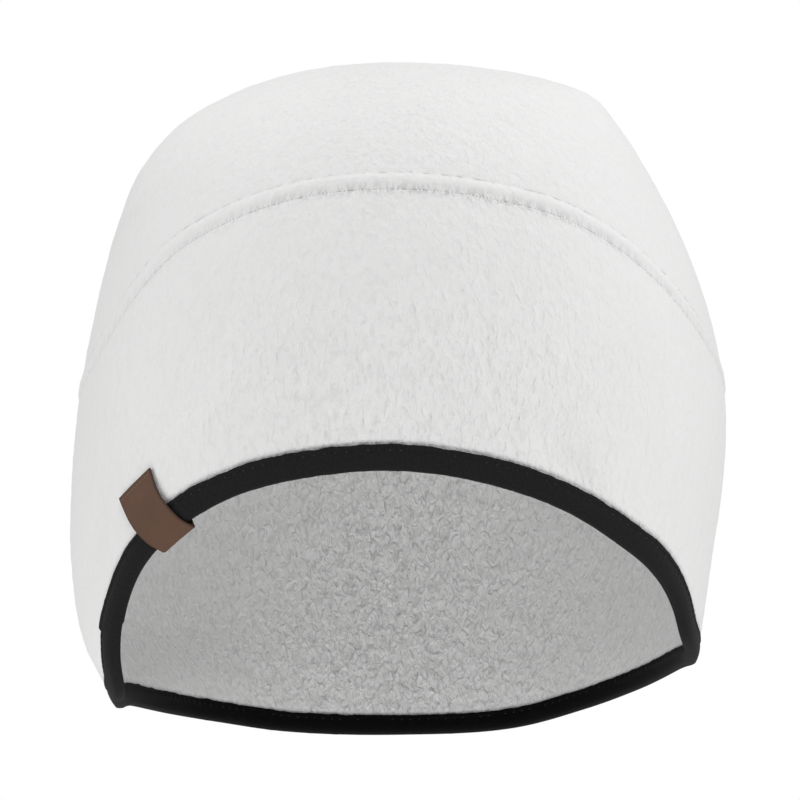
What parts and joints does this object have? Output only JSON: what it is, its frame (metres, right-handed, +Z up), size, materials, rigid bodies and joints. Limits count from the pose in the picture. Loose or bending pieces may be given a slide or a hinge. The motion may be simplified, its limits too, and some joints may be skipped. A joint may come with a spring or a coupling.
{
  "type": "fleece hat",
  "caption": "Soft fleece hat in its worn form: a domed crown over a deep band that arches above the brow and covers ears and nape, with a taped hem and a small folded leather tab.",
  "frame": {"origin": "the inside of the crown at its top, where the top of the head bears", "axes": "+Z up, -Y towards the front (the brow), +X towards the wearer's left ear, which is on the right of the front view"},
  "size_m": [0.1806, 0.211, 0.1949],
  "materials": {
    "fleece": "matt brushed pile, white",
    "tape": "matt knitted binding tape, black",
    "leather": "smooth matt leather, brown"
  },
  "bodies": {
    "root": {"crown": "fleece", "band": "fleece", "hem_binding": "tape", "leather_tab": "leather"}
  },
  "joints": []
}
